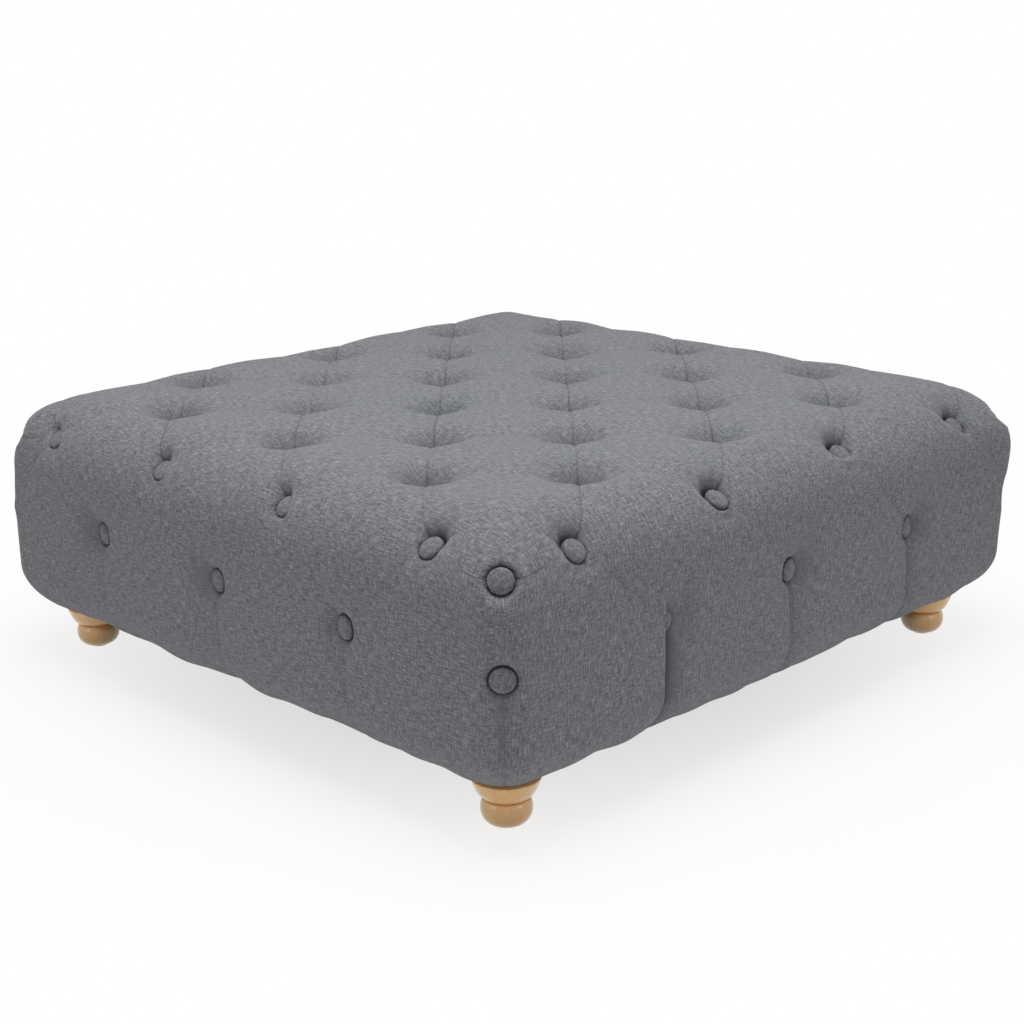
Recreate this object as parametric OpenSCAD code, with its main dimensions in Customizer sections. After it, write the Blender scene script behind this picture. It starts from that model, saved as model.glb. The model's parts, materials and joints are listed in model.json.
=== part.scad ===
// Square deep-buttoned pouf on four turned bun feet, millimetres, +Z up.
// The origin is on the floor, under the middle of the body.

/* [Body] */
// Width of the square padded body across its fullest part
body_w = 900; // [760:10:1100]
// Height of the crown above the floor
total_h = 332; // [320:1:400]
// Height of the underside of the body above the floor
foot_h = 54; // [50:1:75]
// Radius of the rolled top edge
top_roll_r = 90; // [80:1:100]
// Radius of the rolled bottom edge
hem_roll_r = 60; // [50:1:66]
// Radius of the upright corners
corner_r = 36; // [30:1:44]

/* [Tufting] */
// Button steps across the top
steps = 8; // [6:2:8]
// How far the body stands out past the first and last button line
side_swell = 6; // [4:1:10]
// Depth of the tufts on the top
tuft_top = 36; // [24:1:42]
// Depth of the tufts on the rolled edge and the sides
tuft_side = 9; // [6:1:12]
// Depth of the pleats on the top, halfway between two buttons
pleat_top = 5; // [2:1:12]
// Depth of the pleats on the rolled edge and the sides
pleat_side = 3; // [2:1:6]
// Depth of the upright pleats at the hem
pleat_hem = 3; // [1:1:5]

/* [Buttons] */
// Diameter of a covered button
button_d = 26; // [22:1:32]
// Height of a covered button at its middle
button_h = 8; // [7:1:12]
// Height of the straight rim of a covered button
button_rim = 3; // [2:1:4]
// How far below the edge buttons the upper corner buttons sit, along the fabric
corner_drop = 14; // [0:1:20]
// Diameter of the button twine
twine_d = 2.4; // [1.6:0.2:3]
// Diameter of the pins that hold the corner buttons
pin_d = 2.8; // [2:0.2:3.4]
// How far a corner button's pin is driven into the timber
pin_grip = 18; // [12:1:24]

/* [Cover] */
// Thickness of the fabric cover with its backing
cover_t = 2; // [1.4:0.2:3]
// Distance from the crown down to the deck, cover and foam together
pad_t = 95; // [85:1:110]
// How far the hem is turned in under the frame
turn_in = 10; // [6:1:12]
// Thickness of the dust cover
dust_t = 1; // [0.8:0.1:1.4]

/* [Frame] */
// How far the timber frame stands out past the start of the hem's roll
frame_out = 3; // [1:0.5:4]
// Thickness of a side rail
rail_t = 24; // [20:1:28]
// Width of a square corner post
post_w = 48; // [46:1:54]
// Thickness of the plywood deck
deck_t = 12; // [9:1:18]
// Thickness of a stretcher
stretcher_t = 24; // [18:1:28]
// Depth of a stretcher
stretcher_h = 80; // [60:1:110]
// Bevel on the lower outer edges of the frame
frame_bevel = 8; // [8:1:10]

/* [Feet] */
// Distance of a foot's axis from the fullest part of the body
foot_inset = 75; // [74:1:79]
// Greatest diameter of the bun
bun_d = 53.5; // [48:0.5:58]
// Height at which the bun is widest
bun_z = 18.5; // [16:0.5:21]
// Diameter of the foot where it stands on its felt pad
foot_base_d = 25; // [24:1:32]
// Diameter of the neck between bun and collar
neck_d = 43; // [40:1:50]
// Height of the neck above the floor
neck_z = 31; // [25:0.5:34]
// Diameter of the collar at its top
collar_d = 73; // [60:1:76]
// Thickness of the felt pad
felt_t = 2; // [1.5:0.5:3]
// Diameter of the felt pad
felt_d = 22; // [18:1:24]

/* [Hardware] */
// Diameter of the hanger bolt
bolt_d = 8; // [6:1:8]
// Length of the hanger bolt in the foot
bolt_in_foot = 36; // [28:1:38]
// Length of the hanger bolt in the frame
bolt_in_frame = 24; // [20:1:30]
// Outside diameter of the threaded insert
insert_d = 12; // [11:0.5:14]
// Length of the threaded insert
insert_l = 20; // [15:1:25]
// Running clearance on the radius between bolt and insert
thread_gap = 0.05; // [0.02:0.01:0.1]
// Diameter of a frame dowel
dowel_d = 8; // [6:1:10]
// Length of a frame dowel
dowel_l = 40; // [30:1:44]
// Diameter of a frame screw
screw_d = 4; // [3.5:0.5:5]
// Length of a frame screw
screw_l = 36; // [30:1:45]
// Width of a staple's crown
staple_w = 10; // [8:1:12]
// Thickness of staple wire
staple_t = 1; // [0.8:0.1:1.2]
// Depth of a staple's legs
staple_l = 8; // [6:1:10]
// Hem staples on each side of the frame
hem_staples_n = 8; // [6:1:12]

/* [Hidden] */

// Overrun of a cut past the face that it opens
over = 1;
// Room left between a soft piece and its neighbour
soft_gap = 0.3;
// How far round its arc a foot's collar is turned
collar_turn = 45;
// Sides of a true round
round_fn = 48;
// Sides of a thin rod, a screw and a dowel
rod_fn = 6;
screw_fn = 8;
dowel_fn = 12;
// How full the cushions swell between their pleats
fullness = 2.2;
// Button steps from the middle of the frame to a stretcher
stretcher_steps = 1.5;

half = steps / 2;
pitch = (body_w - 2 * side_swell) / steps;
// Runs of fabric from the middle of the top, down the side and under the frame
edge_run = half * pitch;
lower_run = (half + 1) * pitch;
corner_run = edge_run + corner_drop;
inner_run = (half - 1) * pitch;
flat_run = body_w / 2 - top_roll_r;
wall_run = flat_run + top_roll_r * PI / 2;
wall_top_z = total_h - top_roll_r;
hem_z = foot_h + hem_roll_r;
hem_run = wall_run + wall_top_z - hem_z;
end_run = hem_run + hem_roll_r * PI / 2;
// Halfway round the hem's roll, where its pleats start to fade
tuck_run = (hem_run + end_run) / 2;
hem_x = body_w / 2 - hem_roll_r;
// Half the flat seat that a button presses into the padding
seat = button_d / 2 + soft_gap;

frame_r = hem_x + frame_out;
frame_w = 2 * frame_r;
frame_z = foot_h + cover_t + soft_gap;
deck_z = total_h - pad_t;
rail_z = deck_z - deck_t;
rail_mid = frame_r - rail_t / 2;
post_mid = frame_r - post_w / 2;
post_in = frame_r - post_w;
rail_in = frame_r - rail_t;
stretcher_y = stretcher_steps * pitch;
foot_r = body_w / 2 - foot_inset;
// The turned-in hem stops short of the bolts
hem_in = max(hem_x - turn_in, foot_r + bolt_d / 2 + soft_gap);
turned_run = end_run + hem_x - hem_in;
twine_hole_d = 2 * twine_d;
// Places that are shares of the span they lie on
dowel_shares = [0.3, 0.8];
deck_screw_shares = [-0.8, -0.3, 0.3, 0.8];
stretcher_screw_shares = [0.3, 0.7];

corners = [[1, -1], [1, 1], [-1, 1], [-1, -1]];
fabric = "#8d8e93";
timber = "#c9a36b";
wood = "#d8a768";

// Shape of the tufted padding

function clamp(t) = min(max(t, 0), 1);
function mix(a, b, t) = a + (b - a) * t;
// 1 on a pleat and 0 midway between two pleats
function crease(t) = pow(2 * abs(t - round(t)), fullness);

// Depth below the full outline at a place counted in button steps from the middle
function inset(gu, gv) =
    let (
        ring = max(abs(gu), abs(gv)),
        to_side = clamp(ring - half + 1),
        tuft = mix(tuft_top, tuft_side, to_side),
        pleat = mix(pleat_top, pleat_side, to_side),
        p = crease((gu + gv) / 2),
        q = crease((gu - gv) / 2),
        at_corner = abs(gu) == half && abs(gv) == half
    )
    ring > half + 1
    ? mix(pleat_side, pleat_hem, clamp(ring - half - 1))
        * clamp((end_run - ring * pitch) / (end_run - tuck_run)) * crease((gv - half + 1) / 2)
    : at_corner ? tuft_side
    : pleat * max(p, q) + (tuft - pleat) * p * q;

// Angle through which the fabric has turned over the top edge, and under the hem
function top_turn(run) = clamp((run - flat_run) / (wall_run - flat_run)) * 90;
function hem_turn(run) = clamp((run - hem_run) / (end_run - hem_run)) * 90;

// Distance out and height of the fabric after a run, at a depth below the outline
function section(run, deep) =
    run < wall_run
    ? [
        min(run, flat_run) + (top_roll_r - deep) * sin(top_turn(run)),
        wall_top_z + (top_roll_r - deep) * cos(top_turn(run))
    ]
    : run < hem_run
    ? [body_w / 2 - deep, wall_top_z - (run - wall_run)]
    : [
        hem_x + (hem_roll_r - deep) * cos(hem_turn(run)) - max(run - end_run, 0),
        hem_z - (hem_roll_r - deep) * sin(hem_turn(run))
    ];

// Place along a side for a line that runs n from the middle, at a ring of the body
function along(n, g, run, out, full_out) =
    n <= inner_run ? n
    : run >= edge_run && abs(g) == half - 0.5 ? full_out - corner_r
    : inner_run + (n - inner_run) / (min(run, edge_run) - inner_run) * (out - inner_run);

// Radius of the upright corners, which fades on the top and where the hem is turned in
function round_r(run) =
    corner_r * clamp((run - inner_run) / pitch)
    * (1 - pow(clamp((run - tuck_run) / (turned_run - tuck_run)), 2));

// A point of the padding: lu and lv are lines, each [steps from the middle, run]
function spot(lu, lv, under) =
    let (
        u = abs(lu[1]),
        v = abs(lv[1]),
        line = max(u, v),
        run = line + (u == edge_run && v == edge_run ? corner_drop : 0),
        full = section(run, 0),
        here = section(run, inset(lu[0], lv[0]) + under),
        x = u == line ? here[0] : along(u, lu[0], run, here[0], full[0]),
        y = v == line ? here[0] : along(v, lv[0], run, here[0], full[0]),
        c = full[0] - round_r(run),
        far = max(x, y) - c,
        k = min(x, y) > c ? far / norm([x - c, y - c]) : 1
    )
    [
        sign(lu[1]) * (k == 1 ? x : c + (x - c) * k),
        sign(lv[1]) * (k == 1 ? y : c + (y - c) * k),
        here[1]
    ];

// Lines across the top: a pair round each inner button line and one midway between
lines = [
    for (k = [-half : half - 1])
        each [
            each k == -half ? [[k, -edge_run]] : [[k, k * pitch - seat], [k, k * pitch + seat]],
            [k + 0.5, (k + 0.5) * pitch]
        ],
    [half, edge_run]
];
last = len(lines) - 1;

// Rows down a side, from the edge seam to the hem and under the frame
cover_rows = [
    [half, edge_run],
    [half + 0.5, edge_run + pitch / 2],
    [half + 1, lower_run - seat],
    [half + 1, lower_run + seat],
    for (run = [hem_run, tuck_run, end_run, turned_run]) [run / pitch, run]
];
foam_rows = [for (i = [0 : len(cover_rows) - 2]) cover_rows[i]];

// Side columns keep the lines' places, but the run along a side is never the larger one
function side_grid(rows, under) = [
    for (row = rows) [
        for (line = lines)
            let (p = spot(row, [line[0], sign(line[1]) * min(abs(line[1]), row[1])], under))
            row[1] > edge_run && abs(line[0]) == half ? [p[0], sign(line[1]) * p[0], p[2]] : p
    ]
];
function top_grid(under) = [for (lu = lines) [for (lv = lines) spot(lu, lv, under)]];

// Places of a grid's rim in order, as [row, column]
function rim(nr, nc) = [
    each [for (i = [0 : nr - 1]) [i, 0]],
    each [for (j = [0 : nc - 1]) [nr, j]],
    each [for (i = [nr : -1 : 1]) [i, nc]],
    each [for (j = [nc : -1 : 1]) [0, j]]
];

// Two triangles for a cell, folded along the diagonal that lies deeper
function cell(i, j, nc, deep, flip) =
    let (
        a = i * (nc + 1) + j,
        b = a + 1,
        c = a + nc + 1,
        d = c + 1,
        tris = deep[i][j] + deep[i + 1][j + 1] > deep[i][j + 1] + deep[i + 1][j]
            ? [[a, c, d], [a, d, b]]
            : [[a, c, b], [c, d, b]]
    )
    flip ? [for (t = tris) [t[2], t[1], t[0]]] : tris;

// Triangles between two rims that start at offsets m and n, split the same way on every seam
function wall(m, n, count, lean) = [
    for (i = [0 : count - 1])
        let (k = (i + 1) % count)
        each lean
            ? [[m[i], m[k], n[i]], [m[k], n[k], n[i]]]
            : [[m[i], n[k], n[i]], [m[i], m[k], n[k]]]
];

// Closed panel of fabric between an outer and an inner grid of the same size
module panel(outer, inner, deep, lean) {
    nr = len(outer) - 1;
    nc = len(outer[0]) - 1;
    count = (nr + 1) * (nc + 1);
    edge = rim(nr, nc);
    m = [for (e = edge) e[0] * (nc + 1) + e[1]];
    polyhedron(
        points = [for (row = outer) each row, for (row = inner) each row],
        faces = [
            for (i = [0 : nr - 1]) for (j = [0 : nc - 1]) each cell(i, j, nc, deep, true),
            for (i = [0 : nr - 1]) for (j = [0 : nc - 1])
                for (t = cell(i, j, nc, deep, false)) [for (k = t) k + count],
            each wall(m, [for (k = m) k + count], len(m), lean)
        ]
    );
}

// Closed pad between an outer grid and a flat base whose rim and middle are given
module pad(outer, base, middle, deep, lean) {
    nr = len(outer) - 1;
    nc = len(outer[0]) - 1;
    count = (nr + 1) * (nc + 1);
    edge = rim(nr, nc);
    m = [for (e = edge) e[0] * (nc + 1) + e[1]];
    n = [for (i = [0 : len(m) - 1]) count + i];
    hub = count + len(m);
    polyhedron(
        points = [for (row = outer) each row, each base, middle],
        faces = [
            for (i = [0 : nr - 1]) for (j = [0 : nc - 1]) each cell(i, j, nc, deep, true),
            each wall(m, n, len(m), lean),
            for (i = [0 : len(m) - 1]) [n[i], n[(i + 1) % len(m)], hub]
        ]
    );
}

top_deep = [for (lu = lines) [for (lv = lines) inset(lu[0], lv[0])]];
cover_deep = [for (row = cover_rows) [for (line = lines) inset(row[0], line[0])]];
foam_deep = [for (row = foam_rows) [for (line = lines) inset(row[0], line[0])]];

// Where the foam's rim meets the edge of the deck, for a point of the outline
function on_deck(p) =
    let (k = frame_r / max(abs(p[0]), abs(p[1])))
    [p[0] * k, p[1] * k, deck_z];

module top_cover() {
    color(fabric) panel(top_grid(0), top_grid(cover_t), top_deep, false);
}

module side_cover(turn) {
    color(fabric) rotate(turn)
        panel(side_grid(cover_rows, 0), side_grid(cover_rows, cover_t), cover_deep, true);
}

module top_foam() {
    outer = top_grid(cover_t + soft_gap);
    base = [for (e = rim(last, last)) on_deck(outer[e[0]][e[1]])];
    color("#e8dfc0") pad(outer, base, [0, 0, deck_z], top_deep, false);
}

module side_foam(turn) {
    outer = side_grid(foam_rows, cover_t + soft_gap);
    nr = len(foam_rows) - 1;
    foot_row = frame_z + frame_bevel;
    base = [
        for (e = rim(nr, last))
            let (p = outer[e[0]][e[1]], q = on_deck(p))
            [q[0], q[1], e[0] == 0 ? deck_z : min(max(p[2], foot_row), deck_z - e[0] * deck_t / nr)]
    ];
    color("#e8dfc0") rotate(turn)
        pad(outer, base, [frame_r, 0, (deck_z + frame_z) / 2], foam_deep, true);
}

// Buttons and what holds them

// Turned so that +Z points out of the padding at a run, standing on the cover
module on_side(run, deep, shift) {
    p = section(run, deep);
    translate([p[0], shift, p[1]]) rotate([0, top_turn(run), 0]) children();
}

module at_top_buttons() {
    for (i = [1 - half : half - 1], j = [1 - half : half - 1])
        if ((i + j) % 2 != 0)
            translate([i * pitch, j * pitch, total_h - tuft_top]) children();
}

module at_edge_buttons() {
    for (turn = [0 : 90 : 270], j = [1 - half : 2 : half - 1])
        rotate(turn) on_side(edge_run, tuft_side, j * pitch) children();
}

module at_side_buttons() {
    for (turn = [0 : 90 : 270], j = [2 - half : 2 : half - 2])
        rotate(turn) on_side(lower_run, tuft_side, j * pitch) children();
}

// How far the rounded corner lies inside the square one, along the diagonal
module at_corner_button(run) {
    full = section(run, 0);
    here = section(run, tuft_side);
    out = (full[0] - corner_r) * sqrt(2) + here[0] - full[0] + corner_r;
    for (turn = [45 : 90 : 315])
        rotate(turn) translate([out, 0, here[1]]) rotate([0, top_turn(run), 0]) children();
}

module button() {
    cap = button_h - button_rim;
    r = button_d / 2;
    dome = (r * r + cap * cap) / (2 * cap);
    translate([0, 0, soft_gap]) {
        cylinder(r = r, h = button_rim, $fn = round_fn);
        intersection() {
            translate([0, 0, button_h - dome]) sphere(r = dome, $fn = round_fn);
            translate([0, 0, button_rim]) cylinder(r = r, h = cap, $fn = round_fn);
        }
    }
}

// A thin rod that runs into the padding from under a button
module rod(d, l) {
    translate([0, 0, soft_gap - l]) cylinder(d = d, h = l, $fn = rod_fn);
}

top_twine_l = total_h - tuft_top - rail_z + soft_gap + staple_t;
edge_start = section(edge_run, tuft_side);
edge_twine_l = (edge_start[1] - rail_z) / cos(top_turn(edge_run)) + soft_gap;
side_twine_l = body_w / 2 - tuft_side - rail_in + soft_gap;
lower_pin_l = (body_w / 2 - corner_r - frame_r) * sqrt(2) + corner_r - tuft_side + pin_grip;
upper_pin_l = (section(corner_run, tuft_side)[1] - deck_z) / cos(top_turn(corner_run)) + pin_grip;

module top_buttons() {
    color(fabric) at_top_buttons() button();
}

module edge_buttons() {
    color(fabric) at_edge_buttons() button();
}

module side_buttons() {
    color(fabric) at_side_buttons() button();
}

module corner_buttons() {
    color(fabric) {
        at_corner_button(corner_run) button();
        at_corner_button(lower_run) button();
    }
}

module top_twines() {
    color("white") at_top_buttons() rod(twine_d, top_twine_l);
}

module edge_twines() {
    color("white") at_edge_buttons() rod(twine_d, edge_twine_l);
}

module side_twines() {
    color("white") at_side_buttons() rod(twine_d, side_twine_l);
}

module corner_pins() {
    color("silver") {
        at_corner_button(corner_run) rod(pin_d, upper_pin_l);
        at_corner_button(lower_run) rod(pin_d, lower_pin_l);
    }
}

// A staple with its crown on the plane z = 0 and its legs going up
module staple() {
    for (side = [-1, 1])
        translate([-staple_t / 2, side * (staple_w - staple_t) / 2 - staple_t / 2, 0])
            cube([staple_t, staple_t, staple_l]);
    translate([-staple_t / 2, -staple_w / 2, -staple_t])
        cube([staple_t, staple_w, staple_t]);
}

// Each staple crosses its twine's end beside it, on the wood that the twine comes out of
module twine_staples() {
    beside = twine_hole_d / 2 + staple_t;
    reach = (edge_start[1] - rail_z) * tan(top_turn(edge_run));
    color("silver") {
        for (i = [1 - half : half - 1], j = [1 - half : half - 1])
            if ((i + j) % 2 != 0)
                translate([i * pitch + beside, j * pitch, rail_z]) staple();
        for (turn = [0 : 90 : 270], j = [1 - half : 2 : half - 1])
            rotate(turn) translate([edge_start[0] - reach + beside, j * pitch, rail_z]) staple();
        for (turn = [0 : 90 : 270], j = [2 - half : 2 : half - 2])
            rotate(turn)
                translate([rail_in, j * pitch, section(lower_run, 0)[1] + beside])
                    rotate([0, 90, 0]) staple();
    }
}

// Timber frame

module screw() {
    translate([0, 0, -screw_l]) cylinder(d = screw_d, h = screw_l, $fn = screw_fn);
    translate([0, 0, -screw_d / 2]) cylinder(d = 2 * screw_d, h = screw_d / 2, $fn = screw_fn);
}

module at_deck_screws() {
    for (turn = [0 : 90 : 270], share = deck_screw_shares)
        rotate(turn) translate([rail_mid, share * post_in, deck_z]) children();
}

module at_stretcher_screws() {
    for (side = [-1, 1], end = [-1, 1], share = stretcher_screw_shares)
        translate([end * frame_r, side * stretcher_y, rail_z - stretcher_h * share])
            rotate([0, end * 90, 0]) children();
}

module at_dowels() {
    for (turn = [0 : 90 : 270], end = [-1, 1], share = dowel_shares)
        rotate(turn)
            translate([rail_mid, end * post_in, mix(frame_z, rail_z, share)])
                rotate([90, 0, 0]) children();
}

module dowel() {
    cylinder(d = dowel_d, h = dowel_l, center = true, $fn = dowel_fn);
}

module deck_panel() {
    drop = 2 * top_twine_l;
    color(timber) difference() {
        translate([-frame_r, -frame_r, rail_z]) cube([frame_w, frame_w, deck_t]);
        at_top_buttons() rod(twine_hole_d, drop);
        at_edge_buttons() rod(twine_hole_d, 2 * edge_twine_l);
        at_corner_button(corner_run) rod(pin_d, upper_pin_l);
        at_deck_screws() screw();
    }
}

// Bar along +Y with its outer face at the frame's outside and its lower outer edge bevelled
module bevelled_bar(w, l) {
    rotate([90, 0, 0])
        linear_extrude(l, center = true)
            polygon([
                [frame_r - w, frame_z],
                [frame_r - frame_bevel, frame_z],
                [frame_r, frame_z + frame_bevel],
                [frame_r, rail_z],
                [frame_r - w, rail_z]
            ]);
}

module side_rail(turn) {
    color(timber) difference() {
        rotate(turn) bevelled_bar(rail_t, 2 * post_in);
        at_side_buttons() rod(twine_hole_d, 2 * side_twine_l);
        at_dowels() dowel();
        at_deck_screws() screw();
        at_stretcher_screws() screw();
    }
}

module corner_posts() {
    color(timber) difference() {
        intersection() {
            for (c = corners) translate([c[0] * post_mid, c[1] * post_mid, frame_z])
                translate([-post_w / 2, -post_w / 2, 0]) cube([post_w, post_w, rail_z - frame_z]);
            union() for (turn = [0, 180]) rotate(turn) bevelled_bar(post_w, frame_w);
            union() for (turn = [90, 270]) rotate(turn) bevelled_bar(post_w, frame_w);
        }
        for (c = corners) translate([c[0] * foot_r, c[1] * foot_r, frame_z - over]) {
            cylinder(d = insert_d, h = insert_l + over, $fn = round_fn);
            cylinder(d = bolt_d + 2 * thread_gap, h = bolt_in_frame + 2 * over, $fn = round_fn);
        }
        at_dowels() dowel();
        at_corner_button(corner_run) rod(pin_d, upper_pin_l);
        at_corner_button(lower_run) rod(pin_d, lower_pin_l);
    }
}

module stretcher(side) {
    color(timber) difference() {
        translate([-rail_in, side * stretcher_y - stretcher_t / 2, rail_z - stretcher_h])
            cube([2 * rail_in, stretcher_t, stretcher_h]);
        at_stretcher_screws() screw();
    }
}

module rail_dowels() {
    color("#dcc08a") at_dowels() dowel();
}

module deck_screws() {
    color("silver") at_deck_screws() screw();
}

module stretcher_screws() {
    color("silver") at_stretcher_screws() screw();
}

module threaded_inserts() {
    color("gold") for (c = corners) translate([c[0] * foot_r, c[1] * foot_r, frame_z])
        difference() {
            cylinder(d = insert_d, h = insert_l, $fn = round_fn);
            translate([0, 0, -over])
                cylinder(d = bolt_d + 2 * thread_gap, h = insert_l + 2 * over, $fn = round_fn);
        }
}

// Underside

// The sheet stops short of the turned hem, and its corners are cut away round the feet
module dust_cover() {
    edge = hem_in - soft_gap;
    notch = edge - foot_r + collar_d / 2;
    color("#26262a") translate([0, 0, frame_z - dust_t]) linear_extrude(dust_t) difference() {
        square(2 * edge, center = true);
        for (c = corners) translate([c[0] * edge, c[1] * edge]) square(2 * notch, center = true);
    }
}

module staple_row(n, r, z) {
    span = 2 * (foot_r - collar_d);
    for (turn = [0 : 90 : 270], i = [0 : n - 1])
        rotate(turn) translate([r, span * ((i + 0.5) / n - 0.5), z]) staple();
}

module hem_staples() {
    color("silver") staple_row(hem_staples_n, hem_in + staple_t, foot_h);
}

module dust_cover_staples() {
    color("silver") staple_row(hem_staples_n + 1, (rail_in + hem_in) / 2, frame_z - dust_t);
}

// Feet, each drawn about its own axis and moved to its corner

// Turned outline of a foot from its base to the top of its collar
module foot_profile() {
    top = foot_h - soft_gap;
    turns = [1 / 6 : 1 / 6 : 1];
    polygon([
        [0, felt_t],
        [foot_base_d / 2, felt_t],
        for (t = turns) [mix(foot_base_d, bun_d, sin(90 * t)) / 2, mix(bun_z, felt_t, cos(90 * t))],
        for (t = turns) [mix(neck_d, bun_d, cos(90 * t)) / 2, mix(bun_z, neck_z, sin(90 * t))],
        for (t = turns) [
            mix(neck_d, collar_d, sin(collar_turn * t) / sin(collar_turn)) / 2,
            mix(neck_z, top, (1 - cos(collar_turn * t)) / (1 - cos(collar_turn)))
        ],
        [0, top]
    ]);
}

module foot(c) {
    color(wood) translate([c[0] * foot_r, c[1] * foot_r, 0]) difference() {
        rotate_extrude($fn = round_fn) foot_profile();
        translate([0, 0, foot_h - bolt_in_foot])
            cylinder(d = bolt_d, h = bolt_in_foot + over, $fn = round_fn);
    }
}

module bolt(c) {
    color("silver") translate([c[0] * foot_r, c[1] * foot_r, foot_h - bolt_in_foot])
        cylinder(d = bolt_d, h = bolt_in_foot + bolt_in_frame, $fn = round_fn);
}

module felt_pad(c) {
    color("#4a4038") translate([c[0] * foot_r, c[1] * foot_r, 0])
        cylinder(d = felt_d, h = felt_t, $fn = round_fn);
}

top_cover();
side_cover(270);  // front_cover
side_cover(0);  // right_cover
side_cover(90);  // back_cover
side_cover(180);  // left_cover
top_foam();
side_foam(270);  // front_foam
side_foam(0);  // right_foam
side_foam(90);  // back_foam
side_foam(180);  // left_foam
top_buttons();
edge_buttons();
side_buttons();
corner_buttons();
top_twines();
edge_twines();
side_twines();
corner_pins();
twine_staples();
deck_panel();
side_rail(270);  // front_rail
side_rail(0);  // right_rail
side_rail(90);  // back_rail
side_rail(180);  // left_rail
corner_posts();
stretcher(-1);  // front_stretcher
stretcher(1);  // back_stretcher
rail_dowels();
deck_screws();
stretcher_screws();
threaded_inserts();
dust_cover();
hem_staples();
dust_cover_staples();
foot(corners[0]);  // front_right_foot
foot(corners[1]);  // back_right_foot
foot(corners[2]);  // back_left_foot
foot(corners[3]);  // front_left_foot
bolt(corners[0]);  // front_right_bolt
bolt(corners[1]);  // back_right_bolt
bolt(corners[2]);  // back_left_bolt
bolt(corners[3]);  // front_left_bolt
felt_pad(corners[0]);  // front_right_pad
felt_pad(corners[1]);  // back_right_pad
felt_pad(corners[2]);  // back_left_pad
felt_pad(corners[3]);  // front_left_pad
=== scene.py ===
"""Looks for a square deep-buttoned pouf, in metres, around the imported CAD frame.

The tufted padding is drawn on a grid of places (gu, gv), counted in button steps along the fabric
from the middle of the top, over the edge, down a side and under the frame. The driving sizes are
those of the CAD source.
"""

import json
import math

import bpy
import numpy as np
from mathutils import Matrix, Vector


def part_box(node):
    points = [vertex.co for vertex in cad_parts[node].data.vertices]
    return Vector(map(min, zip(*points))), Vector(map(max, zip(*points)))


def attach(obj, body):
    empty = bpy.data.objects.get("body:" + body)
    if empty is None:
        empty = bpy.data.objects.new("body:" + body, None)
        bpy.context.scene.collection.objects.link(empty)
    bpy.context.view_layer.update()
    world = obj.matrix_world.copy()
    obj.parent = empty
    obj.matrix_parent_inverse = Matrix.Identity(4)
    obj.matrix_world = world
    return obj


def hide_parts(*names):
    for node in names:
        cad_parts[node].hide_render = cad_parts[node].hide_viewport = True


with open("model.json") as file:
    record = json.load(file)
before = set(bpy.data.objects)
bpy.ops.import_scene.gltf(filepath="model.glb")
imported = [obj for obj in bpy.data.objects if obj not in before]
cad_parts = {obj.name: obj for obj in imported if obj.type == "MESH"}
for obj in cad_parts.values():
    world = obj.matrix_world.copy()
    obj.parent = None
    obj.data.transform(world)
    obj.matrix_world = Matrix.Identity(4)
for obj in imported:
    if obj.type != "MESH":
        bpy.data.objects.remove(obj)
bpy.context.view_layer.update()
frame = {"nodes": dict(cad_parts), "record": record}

MM = 0.001
FULL_TURN = 2 * math.pi
TINY = 1e-9
ROOT = "padded_body"
CORNERS = {"front_right": (1, -1), "back_right": (1, 1), "back_left": (-1, 1), "front_left": (-1, -1)}
SIDES = {"right": 0, "back": 90, "left": 180, "front": 270}

# Driving sizes
BODY_W = 900 * MM
TOTAL_H = 332 * MM
FOOT_H = 54 * MM
TOP_ROLL_R = 90 * MM
HEM_ROLL_R = 60 * MM
CORNER_R = 36 * MM
SIDE_SWELL = 6 * MM
TURN_IN = 10 * MM
COVER_T = 2 * MM
PAD_T = 95 * MM
FRAME_OUT = 3 * MM
FRAME_BEVEL = 8 * MM
STEPS = 8
BUTTON_D = 26 * MM
CORNER_DROP = 14 * MM
FOOT_INSET = 75 * MM
SOFT_GAP = 0.3 * MM

# Runs of fabric from the middle of the top, and places that follow from the driving sizes
HALF = STEPS // 2
PITCH = (BODY_W - 2 * SIDE_SWELL) / STEPS
EDGE_RUN = HALF * PITCH
LOWER_RUN = (HALF + 1) * PITCH
INNER_RUN = (HALF - 1) * PITCH
CORNER_RUN = EDGE_RUN + CORNER_DROP
FLAT_RUN = BODY_W / 2 - TOP_ROLL_R
WALL_RUN = FLAT_RUN + TOP_ROLL_R * math.pi / 2
WALL_TOP_Z = TOTAL_H - TOP_ROLL_R
HEM_Z = FOOT_H + HEM_ROLL_R
HEM_RUN = WALL_RUN + WALL_TOP_Z - HEM_Z
END_RUN = HEM_RUN + HEM_ROLL_R * math.pi / 2
TUCK_RUN = (HEM_RUN + END_RUN) / 2
TURNED_RUN = END_RUN + TURN_IN
HEM_X = BODY_W / 2 - HEM_ROLL_R
FRAME_R = HEM_X + FRAME_OUT
FOOT_R = BODY_W / 2 - FOOT_INSET
DECK_Z = TOTAL_H - PAD_T
FRAME_Z = FOOT_H + COVER_T + SOFT_GAP
# Where the pads' flat bases end, just outside the frame
BASE_R = FRAME_R + 0.1 * MM

# Depths of tufts and pleats: on the top, on the rolled edge and sides, and at the hem
TUFT_TOP, TUFT_SIDE = 36 * MM, 9 * MM
PLEAT_TOP, PLEAT_SIDE, PLEAT_HEM = 4 * MM, 1.6 * MM, 11 * MM
FULLNESS = 2.2
# Depths of the sharp folds on the top and sides, and what the pull of an edge button adds
FOLD_TOP, FOLD_SIDE, FOLD_PULLED = 2.4 * MM, 1.4 * MM, 1.6 * MM
# How far the painted shade line of a crease spreads, and how far its hollow does
LINE_REACH, FOLD_REACH = 0.8 * MM, 2.6 * MM
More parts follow.
